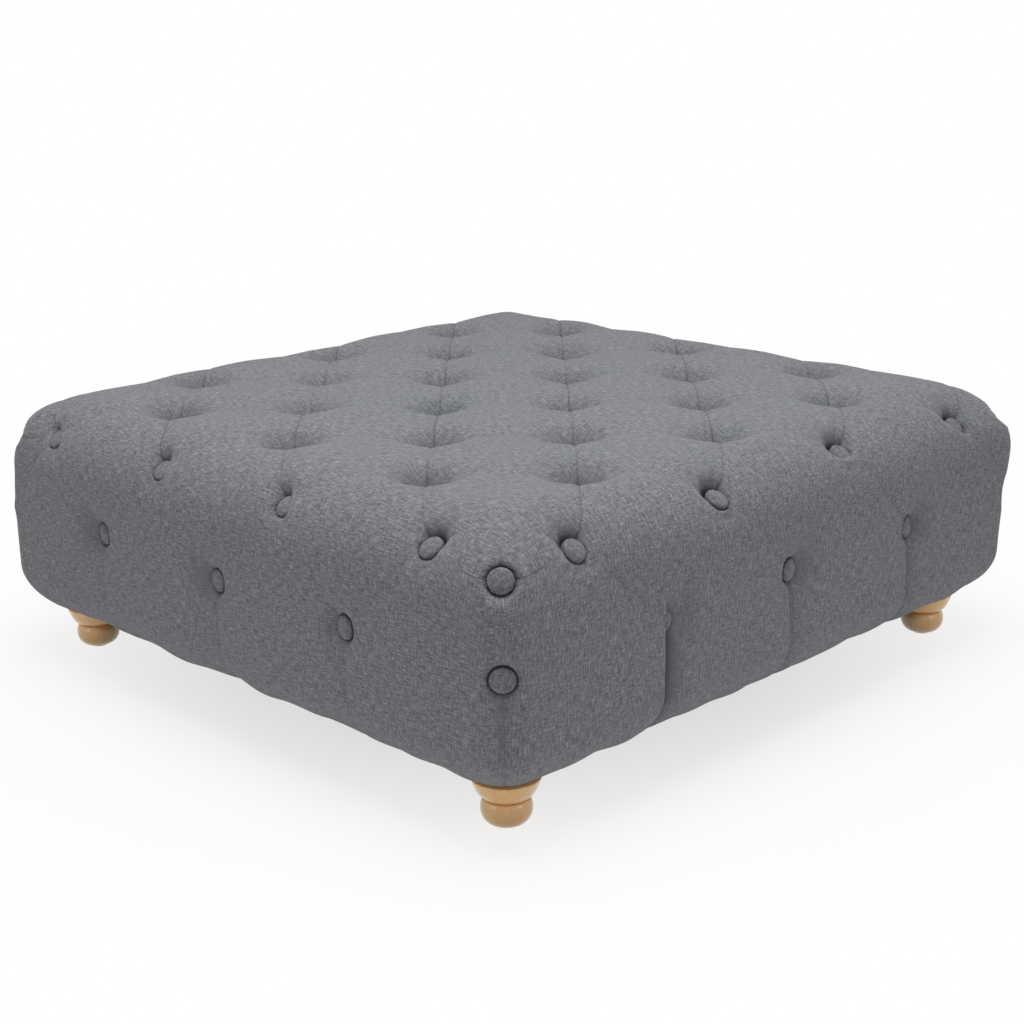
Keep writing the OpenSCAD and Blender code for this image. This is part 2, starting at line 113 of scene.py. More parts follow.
# Radius of the painted shade ring in the gap round a button, and the distance that stands for no painted
# crease shade nearby
GAP_R, NO_GAP = 13.5 * MM, 0.02
# The flat seat under a button: its depth below the hollow, and where it starts and stops to rise
SEAT_DEEP, SEAT_R, SEAT_END = 1.2 * MM, 12.4 * MM, 14.8 * MM
# Hollows: the bowl of a top button, the lip round the others, and the dip outside the lip
BOWL_R, BOWL_REACH = 8 * MM, 20.5 * MM
LIP_R, LIP_REACH = 13.2 * MM, 2.2 * MM
DIP_R, HOLLOW_FALL = 13.4 * MM, 1.6
# How far a dip reaches, and how much further above an edge button and beside a sunk one, in millimetres
DIP_REACH, DIP_ABOVE, DIP_BESIDE = 12, 8, 9
# The fold pinched in above an edge button: how far from its middle, how wide and how deep
PINCH_R, PINCH_REACH, PINCH_DEEP = 15 * MM, 6 * MM, 4.5 * MM
# In millimetres, on the top and on the sides: where creases leave a button, and how long they stay strong
LEAVE_R, LEAVE_REACH = (13, 19), (24, 13)
# How far an upright fold falls off on its open side and on its closed one
VALLEY_REACH, VALLEY_LIP = 9 * MM, 2 * MM
# How far from a button the grid is drawn in circles, and how far its own shift reaches, in steps
ROUND_R, ROUND_END, SHIFT_END = 0.2, 0.42, 0.48

# Buttons by their places in button steps, without those that sit on the upright corners
BUTTONS = [
    (i, j) for i in range(-HALF - 1, HALF + 2) for j in range(-HALF - 1, HALF + 2)
    if (i + j) % 2 != 0 and min(abs(i), abs(j)) < HALF
]
# In these tables a 4 or -4 in a button's place is an edge row, and a 5 or -5 a lower row.
# How much deeper some of these buttons are pulled, in millimetres
SUNK = {
    (5, -2): 4.5, (5, 0): 3.5, (5, 2): 4, (-2, -5): 4, (0, -5): 3, (2, -5): 1.5, (-5, 0): 3, (2, 5): 2,
    (4, -3): 2.5, (4, -1): 3, (4, 1): 5, (4, 3): 5, (3, -4): 3, (1, -4): 5, (-1, -4): 4, (-3, -4): 5.5,
    (-4, 1): 2, (-4, 3): 4, (-1, 4): 3, (3, 4): 1,
}
# A lower button sunk deeper than this is almost hidden by its fold
HIDDEN_FROM = 4.4 * MM
# How far some lower buttons turn away from the front right corner, in degrees
TURNED = {(5, 0): 9, (5, 2): 12, (-2, -5): 8, (0, -5): 8, (2, -5): 9, (-5, 2): 9, (2, 5): 12}
# How far all edge buttons lean back towards the top, and how much further some do, in degrees
EDGE_LEAN = 8
MORE_LEAN = {(4, -1): 9, (4, 1): 7, (-1, -4): 4, (3, -4): 3}
# How far hands pulled some buttons off their even places, in millimetres along each way of the grid
SHIFTED = {
    (4, -3): (4, 3), (4, 1): (-7, 4), (4, 3): (7, 6), (5, -2): (0, 8), (5, 0): (-3, -6),
    (1, -4): (-5, 0), (-1, -4): (-6, -2), (-3, -4): (-9, -2), (3, -4): (-3, 2), (-2, -5): (-5, 6),
    (2, -5): (-4, 0), (1, 4): (4, -3), (-4, -1): (3, 4),
}
# Edge buttons that the cloth hides in part: which way and how many millimetres it closes over them
COVERED = {
    (4, 1): (9, 0), (4, 3): (8, -7), (1, -4): (10, 5), (-1, -4): (8, 3), (-3, -4): (9, 9),
    (-4, 3): (-8, 0), (-1, 4): (6, 6),
}
# Upright corners whose upper button sits deep in the cloth, and how deep
DEEP_CORNERS = {"front_left": 5 * MM, "back_right": 5 * MM}
# How far some upright corners stand out below their upper button, and over how many steps that ends
CORNER_SWELLS = {"back_right": (8 * MM, 1.7), "front_left": (-5 * MM, 1.0)}
# How strongly the upright folds below the lower buttons show, by side and step across it
HANGING = {
    (1, 0, -2): 1.0, (1, 0, 0): 0.36, (1, 0, 2): 0.4, (0, -1, 2): 0.12, (0, -1, 0): 0.16, (0, -1, -2): 0.1,
    (-1, 0, -2): 0.5, (-1, 0, 0): 0.2, (-1, 0, 2): 0.7, (0, 1, -2): 0.35, (0, 1, 0): 0.8, (0, 1, 2): 0.25,
}
CORNER_FOLD = 0.2
# An upright fold this strong starts above its button
LONG_FOLD = 0.9
# How strongly the crease between a corner button and the next edge button shows, by side and end
SEAM_CREASES = {
    (1, 0, -1): 0.75, (0, -1, 1): 0.12, (0, -1, -1): 0.8, (1, 0, 1): 0.3,
    (0, 1, 1): 0.5, (-1, 0, 1): 0.2, (0, 1, -1): 0.4,
}
# Chance strengths of the creases for both families of pleats, and where the middle of the top is in them
STRENGTHS = np.random.default_rng(11).uniform(0, 1, (2, 20, 20))
MIDDLE = 8


# Full outline of the padding

def clamp(t):
    return np.clip(t, 0.0, 1.0)


def mix(a, b, t):
    return a + (b - a) * t


def smooth(a, b, t):
    t = clamp((t - a) / (b - a))
    return t * t * (3 - 2 * t)


def top_turn(run):
    return clamp((run - FLAT_RUN) / (WALL_RUN - FLAT_RUN)) * math.pi / 2


def hem_turn(run):
    return clamp((run - HEM_RUN) / (END_RUN - HEM_RUN)) * math.pi / 2


def section(run, deep):
    """Distance out and height of the fabric after a run, at a depth below the full outline."""
    a, b = top_turn(run), hem_turn(run)
    roll = (
        np.minimum(run, FLAT_RUN) + (TOP_ROLL_R - deep) * np.sin(a),
        WALL_TOP_Z + (TOP_ROLL_R - deep) * np.cos(a),
    )
    side = (BODY_W / 2 - deep + 0 * run, WALL_TOP_Z - (run - WALL_RUN))
    under = (
        HEM_X + (HEM_ROLL_R - deep) * np.cos(b) - np.maximum(run - END_RUN, 0),
        HEM_Z - (HEM_ROLL_R - deep) * np.sin(b),
    )
    on_roll, on_side = run < WALL_RUN, run < HEM_RUN
    return [np.where(on_roll, roll[k], np.where(on_side, side[k], under[k])) for k in (0, 1)]


def round_r(run):
    """Radius of the upright corners, which fades on the top and where the hem is turned in."""
    fade = 1 - clamp((run - TUCK_RUN) / (TURNED_RUN - TUCK_RUN)) ** 2
    return CORNER_R * clamp((run - INNER_RUN) / PITCH) * fade


def along(n, run, out):
    """Distance from the middle for a run n across, where the line that it lies on is out."""
    span = np.maximum(np.minimum(run, EDGE_RUN) - INNER_RUN, TINY)
    return np.where(n <= INNER_RUN, n, INNER_RUN + (n - INNER_RUN) / span * (out - INNER_RUN))


def corner_dip(gu, gv):
    """How far the fabric is drawn down near an upright corner, to its upper button."""
    from_corner = np.hypot(np.abs(gu) - HALF, np.abs(gv) - HALF)
    return CORNER_DROP * (1 - smooth(0.3, 1.0, from_corner))


def spots(gu, gv, deep):
    """Points of the padding for places in button steps, at a depth below the full outline."""
    u, v = np.abs(gu) * PITCH, np.abs(gv) * PITCH
    line = np.maximum(u, v)
    run = line + corner_dip(gu, gv)
    full = section(run, 0)[0]
    out, z = section(run, deep)
    x = np.where(u >= line, out, along(u, line, out))
    y = np.where(v >= line, out, along(v, line, out))
    c = full - round_r(line)
    far = np.maximum(x, y) - c
    reach = np.maximum(np.hypot(x - c, y - c), TINY)
    k = np.where(np.minimum(x, y) > c, far / reach, 1.0)
    x = np.where(k < 1, c + (x - c) * k, x)
    y = np.where(k < 1, c + (y - c) * k, y)
    return np.stack([np.sign(gu) * x, np.sign(gv) * y, z], axis=-1)


# Buttons, pleats and folds of the padding

def crease(t):
    """1 on a pleat and 0 midway between two pleats."""
    return (2 * np.abs(t - np.round(t))) ** FULLNESS


def off_pleat(t):
    """Distance from the nearest pleat of one family, along the fabric."""
    return np.abs(t - np.floor(t) - 0.5) * math.sqrt(2) * PITCH


def waves(gu, gv, seed, size, count=9):
    """Slow, smooth unevenness between -1 and 1, the same on every run of the script."""
    r = np.random.default_rng(seed)
    total = 0 * gu
    for _ in range(count):
        a, phase, f = r.uniform(0, FULL_TURN), r.uniform(0, FULL_TURN), r.uniform(0.6, 1.5) / size
        total = total + np.sin(FULL_TURN * f * (gu * math.cos(a) + gv * math.sin(a)) + phase)
    return total / math.sqrt(count)


def centre(i, j):
    """Where a button really sits, in button steps."""
    along_u, along_v = SHIFTED.get((i, j), (0, 0))
    return i + along_u * MM / PITCH, j + along_v * MM / PITCH


def nearest_button(gu, gv):
    """Distance from the nearest button along the fabric, and the offsets from it in metres."""
    best, off_u, off_v = (np.full(np.shape(gu), 99.0) for _ in range(3))
    for i, j in BUTTONS:
        cu, cv = centre(i, j)
        far = np.hypot(gu - cu, gv - cv)
        off_u = np.where(far < best, gu - cu, off_u)
        off_v = np.where(far < best, gv - cv, off_v)
        best = np.minimum(best, far)
    return best * PITCH, off_u * PITCH, off_v * PITCH


def round_off(gu, gv):
    """Pull the square grid round each button into circles, and along with a button off its place.

    Gives the pulled places and how far each one moved with a button.
    """
    pu, pv, su, sv = np.array(gu), np.array(gv), 0 * gu, 0 * gv
    for i, j in BUTTONS:
        du, dv = gu - i, gv - j
        size = np.maximum(np.abs(du), np.abs(dv))
        round_part = 1 - smooth(ROUND_R, ROUND_END, size)
        k = mix(1.0, size / np.maximum(np.hypot(du, dv), TINY), round_part)
        # Below a lower button the fold hangs from it, so there the shift runs on to the hem
        lower_u, lower_v = abs(i) > HALF, abs(j) > HALF
        sized = np.where(lower_v & (dv * j > 0), np.abs(du), size)
        sized = np.where(lower_u & (du * i > 0), np.abs(dv), sized)
        held = 1 - smooth(ROUND_R, SHIFT_END, sized)
        inside, below = size < SHIFT_END, sized < SHIFT_END
        cu, cv = centre(i, j)
        su = su + (cu - i) * held * (inside | below & lower_v)
        sv = sv + (cv - j) * held * (inside | below & lower_u)
        pu = np.where(inside, i + du * k, pu)
        pv = np.where(inside, j + dv * k, pv)
    return pu + su, pv + sv, su, sv


def seat(far):
    """Depth of the flat seat under a button."""
    return SEAT_DEEP * (1 - smooth(SEAT_R, SEAT_END, far))


def dent(far, uphill, wide=0.0):
    """Hollow round a button on the edge or a side: a steep lip, and a wider dip above the button."""
    lip = np.exp(-np.maximum(far - LIP_R, 0) / LIP_REACH)
    reach = (DIP_REACH + DIP_ABOVE * uphill + DIP_BESIDE * wide) * MM
    dip = np.exp(-(np.maximum(far - DIP_R, 0) / reach) ** HOLLOW_FALL)
    return mix(lip, dip, np.maximum(mix(0.3, 0.75, uphill), 0.7 * wide))


def ring_gap(far, steep=0.6):
    """How far off the painted shade ring in the gap round a button a place is."""
    return steep * np.abs(far - GAP_R) + 0.05 * MM


def side_of(gu, gv):
    """Which side each place lies on, as a pair of signs, and the steps across that side."""
    flat = np.abs(gu) >= np.abs(gv)
    return np.where(flat, np.sign(gu), 0), np.where(flat, 0, np.sign(gv)), np.where(flat, gv, gu)


def by_side(table, at, steps, usual):
    """A table's value for the side that each place lies on, and its step across that side."""
    out = np.full(np.shape(steps), usual)
    for (a, b, step), value in table.items():
        out = np.where((at.sx == a) & (at.sy == b) & (steps == step), value, out)
    return out


def looked_up(table, gu, gv):
    """A table's value for the nearest button."""
    out = np.zeros(np.shape(gu))
    for (i, j), value in table.items():
        out = np.where(np.hypot(gu - i, gv - j) < 0.5, value, out)
    return out


def covering(gu, gv, off_u, off_v):
    """How far the cloth closes over the nearest button on this side of it."""
    far = np.maximum(np.hypot(off_u, off_v), TINY)
    out = np.zeros(np.shape(gu))
    for (i, j), way in COVERED.items():
        reach = math.hypot(*way)
        towards = clamp((off_u * way[0] + off_v * way[1]) / (reach * far))
        out = np.where(np.hypot(gu - i, gv - j) < 0.5, reach * MM * towards ** 1.3, out)
    return out


def corner_swell(gu, gv):
    """How far the padding stands out, or is drawn in, down the uneven upright corners."""
    out = 0 * gu
    for corner, (height, end) in CORNER_SWELLS.items():
        sx, sy = CORNERS[corner]
        ring, least = np.maximum(sx * gu, sy * gv), np.minimum(sx * gu, sy * gv)
        near = smooth(HALF - 1.5, HALF, least)
        starts = smooth(HALF - 0.3, HALF + 0.2, ring)
        out = out + near * height * starts * (1 - smooth(HALF + 0.3, HALF + end, ring))
    return out


class Places:
    """Places on the padding, and how each one lies to the rows, the buttons and the pleats."""

    def __init__(self, gu, gv, su, sv):
        self.gu, self.gv = gu, gv
        # The top, the rows of edge and lower buttons, and what hangs below them
        self.ring = np.maximum(np.abs(gu), np.abs(gv))
        self.on_top = self.ring < HALF - 0.5
        self.upper = self.ring < HALF + 0.5
        self.lower = self.ring > HALF + 0.5
        self.below = self.ring > HALF + 1
        self.side = clamp(self.ring - HALF + 1)
        self.fade = clamp((END_RUN - self.ring * PITCH) / (END_RUN - TUCK_RUN))
        # Steps across a side, and from the nearest column of lower buttons
        self.sx, self.sy, self.step = side_of(gu, gv)
        self.behind = self.sx + self.sy
        self.across = side_of(gu - su, gv - sv)[2]
        self.column = self.across - np.round(self.across / 2) * 2
        self.calm = mix(1.0, clamp((HALF - np.abs(self.across)) / 0.5), self.side)
        # Steps across the two families of pleats
        self.tp, self.tq = (gu - su + gv - sv) / 2, (gu - su - gv + sv) / 2
        # The nearest button
        self.far, off_u, off_v = nearest_button(gu, gv)
        self.cover = covering(gu, gv, off_u, off_v)
        self.sunk = looked_up(SUNK, gu, gv) * MM
        self.hidden = (self.sunk > HIDDEN_FROM) & self.lower
        self.over = self.far + self.cover + 3 * MM * self.hidden
        self.uphill_by = np.where(self.sx != 0, -self.sx * off_u, -self.sy * off_v)
        bare = 1 - clamp(self.cover / (4 * MM))
        self.uphill = np.where(self.upper, clamp(self.uphill_by / np.maximum(self.far, TINY)), 0) * bare
        self.wide = clamp(self.sunk / (3 * MM)) * clamp(0.35 + self.behind * self.column * 2) * self.lower
        start, reach = (np.where(self.on_top, *pair) * MM for pair in (LEAVE_R, LEAVE_REACH))
        self.leaving = np.exp(-np.maximum(self.far - start, 0) / reach)


def hollows(at):
    """The bowl of a top button, and the share of a tuft's depth that each place has."""
    ends = 1 - smooth(HALF - 0.62, HALF - 0.5, at.ring)
    bowl = np.exp(-(np.maximum(at.far - BOWL_R, 0) / BOWL_REACH) ** HOLLOW_FALL) * ends
    hollow = np.where(at.on_top, bowl, dent(at.over, at.uphill, at.wide))
    return bowl, hollow * np.where(at.hidden, smooth(-3 * MM, 1 * MM, at.behind * at.column * PITCH), 1)


def slackness(at):
    """Depth between the buttons: soft pleats, and a slow unevenness."""
    slack = mix(PLEAT_TOP, PLEAT_SIDE, at.side) * np.maximum(crease(at.tp), crease(at.tq))
    slack = np.where(at.below, PLEAT_SIDE * crease((at.across - HALF + 1) / 2) * at.fade, slack)
    slack = slack - (1.5 - 0.5 * at.side) * MM * waves(at.gu, at.gv, 3, 1.7) * at.calm * at.fade
    hem = smooth(HALF + 1.5, HALF + 2.2, at.ring)
    return slack + 1.5 * MM * waves(at.gu, at.gv, 8, 0.7) * hem * at.calm


def leaned(at):
    """Depth that lets an edge button lean back."""
    lean = np.sin(np.radians(EDGE_LEAN + looked_up(MORE_LEAN, at.gu, at.gv)))
    end = np.where(at.uphill_by > 0, 34, 24) * MM
    by_button = (1 - smooth(14 * MM, end, at.far)) * (np.abs(at.ring - HALF) < 0.5)
    return lean * at.uphill_by * by_button


def turned(at):
    """Depth that lets a lower button turn sideways."""
    turn = np.sin(np.radians(looked_up(TURNED, at.gu, at.gv))) * at.behind * at.column * PITCH
    return turn * (1 - smooth(16 * MM, 30 * MM, at.far)) * at.lower


def pleat_lines(at):
    """Distance and strength of the creases along both families of pleats, strongest by a button."""
    line = np.floor([at.tp, at.tq]).astype(int) + MIDDLE
    part = np.floor([at.tq - 0.5, at.tp - 0.5]).astype(int) + MIDDLE
    chance = [STRENGTHS[k][line[k], part[k]] for k in (0, 1)]
    on_side = smooth(HALF - 0.4, HALF + 0.2, at.ring)
    strengths = (
        mix(0.12 + 0.55 * chance[0], 0.2 * chance[0], on_side),
        mix(0.16 * chance[1], 0.12 + 0.6 * chance[1] ** 2, on_side),
    )
    by_edge_button = np.minimum(mix(0.3, 1.35, at.uphill), 1)
    drawn = np.where(at.below, 0, at.calm)
    lines = []
    for steps, strength, by_top_button in zip((at.tp, at.tq), strengths, (0.9, 0.4)):
        peak = np.where(at.on_top, by_top_button, by_edge_button)
        strength = mix(strength, np.maximum(strength, peak), at.leaving)
        lines.append((off_pleat(steps), strength * drawn))
    return lines


def corner_lines(at):
    """Distance and strength of the creases along the edge and down the upright corners."""
    ends = (np.abs(at.step) > HALF - 1) & (np.abs(at.step) < HALF)
    edge = by_side(SEAM_CREASES, at, np.sign(at.step), 0.0) * ends * (1 - at.leaving)
    from_button = np.minimum(np.abs(at.ring - HALF), np.abs(at.ring - HALF - 1)) * PITCH
    upright = 0.5 * np.exp(-np.maximum(from_button - BUTTON_D / 2, 0) / (12 * MM)) * (at.ring > HALF)
    return [(np.abs(at.ring - HALF) * PITCH, edge), ((HALF - np.abs(at.across)) * PITCH, upright)]


def hanging_folds(at):
    """Distance across and strength of the upright folds, which start above a button that they hide."""
    step = np.round((at.across - HALF) / 2) * 2 + HALF
    strength = by_side(HANGING, at, np.round(at.step / 2) * 2, CORNER_FOLD)
    starts = smooth(HALF + 0.72, HALF + 0.95, at.ring)
    starts = np.where(at.hidden | (strength > LONG_FOLD), starts, at.below)
    return (at.across - step) * PITCH, strength * starts * at.fade


def padding(gu, gv, su, sv):
    """Depth below the full outline, how far off the nearest painted crease shade is, and how much painted
    shade a closed-in place takes.
    """
    at = Places(gu, gv, su, sv)
    bowl, hollow = hollows(at)
    tuft = np.where(at.on_top, TUFT_TOP, TUFT_SIDE + at.sunk)
    deep = slackness(at) * (1 - hollow) + tuft * hollow
    deep = deep + seat(at.over)
    pinch = at.uphill ** 1.5 * np.exp(-((at.far - PINCH_R) / PINCH_REACH) ** 2) * (at.ring > HALF - 0.5)
    deep = deep + PINCH_DEEP * pinch
    deep = deep + leaned(at)
    deep = deep + turned(at)

    # Creases, each a small groove with a painted shade line along it
    sideways, hanging = hanging_folds(at)
    gap = np.full(np.shape(gu), NO_GAP)
    groove = 0 * gap
    broad = 1 + at.leaving * np.where(at.on_top, 0.8, 1.9 * at.uphill)
    for distance, strength in [*pleat_lines(at), (np.abs(sideways), hanging), *corner_lines(at)]:
        gap = np.minimum(gap, distance / broad - LINE_REACH * np.log(np.maximum(strength, 1e-4)))
        groove = np.maximum(groove, strength * np.exp(-distance / FOLD_REACH))
    fold = mix(FOLD_TOP, FOLD_SIDE, at.side) + FOLD_PULLED * at.leaving * at.uphill * at.side
    deep = deep + fold * groove * (1 - hollow ** 2)
    ring = ring_gap(at.far + at.cover, mix(0.6, 0.36, at.upper))
    gap = np.minimum(gap, np.where(at.hidden, NO_GAP, ring))

    # Upright folds, open on the side that is further from the front right corner
    folded = sideways * np.where(at.behind < 0, -1, 1)
    valley = np.where(folded > 0, np.exp(-folded / VALLEY_REACH), np.exp(folded / VALLEY_LIP))
    valley = hanging * valley * mix(1.0, 0.55, smooth(HALF + 1.3, HALF + 2, at.ring))
    open_valley = deep + PLEAT_HEM * valley * (1 - hollow ** 2)
    deep = np.where(at.hidden, np.maximum(deep, PLEAT_HEM * valley), open_valley)

    # Painted shade: how closed in a place is, which darkens the cloth's colour there
    by_edge = np.maximum(1.1 * pinch, 0.4 * hollow * at.uphill) * at.upper
    by_fold = np.where(folded > 0, valley, valley ** 2)
    by_lower = np.maximum(0.75 * hollow * at.wide * at.lower, by_fold)
    closed = np.where(at.on_top, 0.3 * bowl, np.maximum(by_edge, by_lower))
    return deep - corner_swell(gu, gv), gap, clamp(closed)


def corner_frame(run, sx, sy):
    """Middle of an upright corner's button on the padding, and the way out of the padding."""
    full, foot = (section(run, deep) for deep in (0, TUFT_SIDE))
    tip = float(top_turn(run))
    flat = math.sin(tip) / math.sqrt(2)
    normal = np.array([sx * flat, sy * flat, math.cos(tip)])
    out = (float(full[0]) - CORNER_R) * math.sqrt(2) + CORNER_R
    out -= float(full[0]) - float(foot[0])
    base = np.array([sx * out / math.sqrt(2), sy * out / math.sqrt(2), float(foot[1])])
    return base, normal


def corner_depth(run, corner):
    return DEEP_CORNERS.get(corner, 0) if run == CORNER_RUN else 0


def seat_corner_buttons(p, gap):
    """Flatten the padding round each corner button, with the same hollow and painted shade ring as the
    others have.
    """
    for run in (CORNER_RUN, LOWER_RUN):
        for corner, (sx, sy) in CORNERS.items():
            base, normal = corner_frame(run, sx, sy)
            depth = corner_depth(run, corner)
            to = p - base
            height = to @ normal
            far = np.linalg.norm(to - height[..., None] * normal, axis=-1)
            near = (np.linalg.norm(to, axis=-1) < 70 * MM) & (height > -40 * MM)
            around = TUFT_SIDE - SEAT_DEEP - 4 * far ** 2
            level = mix(around, -seat(far) - depth, dent(far, 0))
            weight = (1 - smooth(15 * MM - depth / 4, 27 * MM - 1.4 * depth, far)) * near
            p = p + (weight * (level - height))[..., None] * normal
            # The painted shade ring in the gap round a corner button
            gap = np.where(near, np.minimum(gap, ring_gap(far)), gap)
    return p, gap


# Grids of the five padded pieces

# Grid lines beside each line of buttons, in millimetres from it, closest at a button's rim
NEAR = [0, 3, 6, 8, 9.8, 11.3, 12.6, 13.5, 14.6, 15.9, 17.6, 19.9, 22.8, 26.3, 30.4, 35, 39.8, 45, 50.3]
NEAR = [n * MM / PITCH for n in NEAR]
# How far before the end of the hem its even grid stops, in button steps
HEM_CLEAR = 0.04
# How much lower each row of a side pad's base lies, so that no two rows meet
ROW_STEP = 1e-5


def ticks(start, end):
    """Places in button steps, closer together round every button line."""
    out = []
    for k in range(math.floor(start) - 1, math.ceil(end) + 2):
        out += [k + n for n in NEAR] + [k - n for n in NEAR[1:]] + [k + 0.5]
    return np.array(sorted(round(t, 9) for t in out if start - TINY <= t <= end + TINY))


def turn_z(points, degrees):
    a = math.radians(degrees)
    m = np.array([[math.cos(a), -math.sin(a), 0], [math.sin(a), math.cos(a), 0], [0, 0, 1]])
    return points @ m.T


def grid_tris(deep):
    """Two triangles for each cell, folded along the diagonal that lies deeper."""
    nr, nc = deep.shape
    a = np.arange(nr * nc).reshape(nr, nc)[:-1, :-1].ravel()
    b, c = a + 1, a + nc
    d = c + 1
    flat = deep.ravel()
    lean = flat[a] + flat[d] > flat[b] + flat[c]
    first = np.where(lean[:, None], np.stack([a, c, d], 1), np.stack([a, c, b], 1))
    second = np.where(lean[:, None], np.stack([a, d, b], 1), np.stack([c, d, b], 1))
    return np.concatenate([first, second])


def rim_indices(nr, nc):
    """The grid's outer points, once round."""
    grid = np.arange(nr * nc).reshape(nr, nc)
    return np.concatenate([grid[:-1, 0], grid[-1, :-1], grid[:0:-1, -1], grid[0, :0:-1]])


def on_deck(p):
    """The points pushed out or in to the edge of the deck."""
    k = BASE_R / np.maximum(np.abs(p[:, 0]), np.abs(p[:, 1]))
    return np.stack([p[:, 0] * k, p[:, 1] * k, np.full(len(p), DECK_Z)], axis=1)


def tufted(gu, gv):
    """The padding on a grid of places, and where each place lies along the fabric."""
    gu, gv, su, sv = round_off(gu, gv)
    deep, gap, closed = padding(gu, gv, su, sv)
    p, gap = seat_corner_buttons(spots(gu, gv, deep), gap)
    return dict(p=p, deep=deep, gap=gap, closed=closed, gu=gu, gv=gv)


def top_piece():
    t = ticks(-HALF, HALF)
    g = tufted(*np.meshgrid(t, t, indexing="ij"))
    rim = rim_indices(*g["deep"].shape)
    return g | dict(rim=rim, base=on_deck(g["p"].reshape(-1, 3)[rim]), hub=(0, 0, DECK_Z))


def side_piece(degrees):
    rows = np.append(ticks(HALF, END_RUN / PITCH - HEM_CLEAR), [END_RUN / PITCH, TURNED_RUN / PITCH])
    cols = ticks(-HALF, HALF)
    grid = np.stack([*np.meshgrid(rows, cols, indexing="ij"), np.zeros((len(rows), len(cols)))], axis=-1)
    grid = np.round(turn_z(grid, degrees), 9)
    g = tufted(grid[..., 0], grid[..., 1])
    # The hem's inner face, back up to the frame
    inner = [spots(g["gu"][k], g["gv"][k], g["deep"][k] + COVER_T) for k in (-1, -2)]
    g = {name: np.concatenate([a, a[-1:], a[-1:]]) for name, a in g.items()}
    g["p"][-2:] = inner
    rim = rim_indices(*g["deep"].shape)
    flat = turn_z(g["p"].reshape(-1, 3)[rim], -degrees)
    base = on_deck(flat)
    row = rim // len(cols)
    low = FRAME_Z + FRAME_BEVEL
    base[:, 2] = np.where(row == 0, DECK_Z, np.minimum(np.maximum(flat[:, 2], low), DECK_Z - ROW_STEP * row))
    hub = turn_z(np.array((BASE_R, 0, (DECK_Z + low) / 2)), degrees)
    return g | dict(rim=rim, base=turn_z(base, degrees), hub=tuple(hub))


def shared_normals(grids):
    """Smooth normals that run on across the seams between pieces."""
    points = [g["p"].reshape(-1, 3) for g in grids]
    sizes = np.cumsum([0] + [len(p) for p in points])
    # Points that lie together on a seam share one normal
    allp = np.concatenate(points)
    tris = np.concatenate([grid_tris(g["deep"]) + s for g, s in zip(grids, sizes)])
    key, back = np.unique(np.round(allp, 6), axis=0, return_inverse=True)
    back = back.ravel()
    face = np.cross(allp[tris[:, 1]] - allp[tris[:, 0]], allp[tris[:, 2]] - allp[tris[:, 0]])
    total = np.zeros((len(key), 3))
    for k in range(3):
        np.add.at(total, back[tris[:, k]], face)
    total /= np.maximum(np.linalg.norm(total, axis=1, keepdims=True), 1e-12)
    normals = total[back]
    return [normals[a:b] for a, b in zip(sizes[:-1], sizes[1:])]


def linked(name, data):
    ob = bpy.data.objects.new(name, data)
    bpy.context.scene.collection.objects.link(ob)
    return ob


def new_object(name, verts, faces):
    me = bpy.data.meshes.new(name)
    me.from_pydata([tuple(v) for v in verts], [], [tuple(int(k) for k in f) for f in faces])
    me.polygons.foreach_set("use_smooth", [True] * len(me.polygons))
    me.update()
    return linked(name, me)


def set_values(me, name, values):
    layer = me.attributes.new(name, "FLOAT", "POINT")
    layer.data.foreach_set("value", np.asarray(values, dtype=np.float32))


# Metres of fabric that the map of its threads holds from edge to edge
UV_SPAN = 1.6


def set_uv(me, per_vertex):
    """The fabric's own map: metres along its threads, with the middle of the cloth at 0.5."""
    loops = np.empty(len(me.loops), dtype=np.int32)
    me.loops.foreach_get("vertex_index", loops)
    uv = me.uv_layers.new(name="threads")
    uv.data.foreach_set("uv", (np.asarray(per_vertex)[loops] / UV_SPAN + 0.5).astype(np.float32).ravel())


def padded_object(name, g, normals):
    """A closed pad: its tufted grid, and walls from the grid's rim to a flat base."""
    p = g["p"].reshape(-1, 3)
    count, rim = len(p), g["rim"]
    n = len(rim)
    verts = np.concatenate([p, g["base"], [g["hub"]]])
    tris = grid_tris(g["deep"])
    i = np.arange(n)
    k = (i + 1) % n
    walls = np.concatenate([
        np.stack([rim[i], count + i, count + k], 1),
        np.stack([rim[i], count + k, rim[k]], 1),
        np.stack([count + k, count + i, np.full(n, count + n)], 1),
    ])
    # The rim runs clockwise seen from outside, so the walls are turned to face out
    ob = new_object(name, verts, np.concatenate([tris, walls[:, ::-1]]))
    extra = n + 1
    # Painted shade for the pad's colour: lines along its creases and round its buttons, and the shade of
    # closed-in places; none on the walls
    set_values(ob.data, "gap", np.concatenate([g["gap"].ravel(), np.full(extra, NO_GAP)]) * 1000)
    set_values(ob.data, "closed", np.concatenate([g["closed"].ravel(), np.zeros(extra)]))
    uv = np.stack([(g[way] * PITCH).ravel() for way in ("gu", "gv")], 1)
    set_uv(ob.data, np.concatenate([uv, uv[rim], [uv.mean(axis=0)]]))
    ob.data.polygons.foreach_set("use_smooth", [True] * len(tris) + [False] * len(walls))
    custom = np.concatenate([normals, np.zeros((extra, 3))])
    ob.data.normals_split_custom_set_from_vertices([tuple(c) for c in custom])
    return ob


grids = {"top": top_piece()} | {side: side_piece(turn) for side, turn in SIDES.items()}
normal_sets = dict(zip(grids, shared_normals(list(grids.values()))))
pads = {name: padded_object("padded_" + name, g, normal_sets[name]) for name, g in grids.items()}
for name, ob in pads.items():
    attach(ob, ROOT)
    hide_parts(name + "_cover", name + "_foam")


# Covered buttons

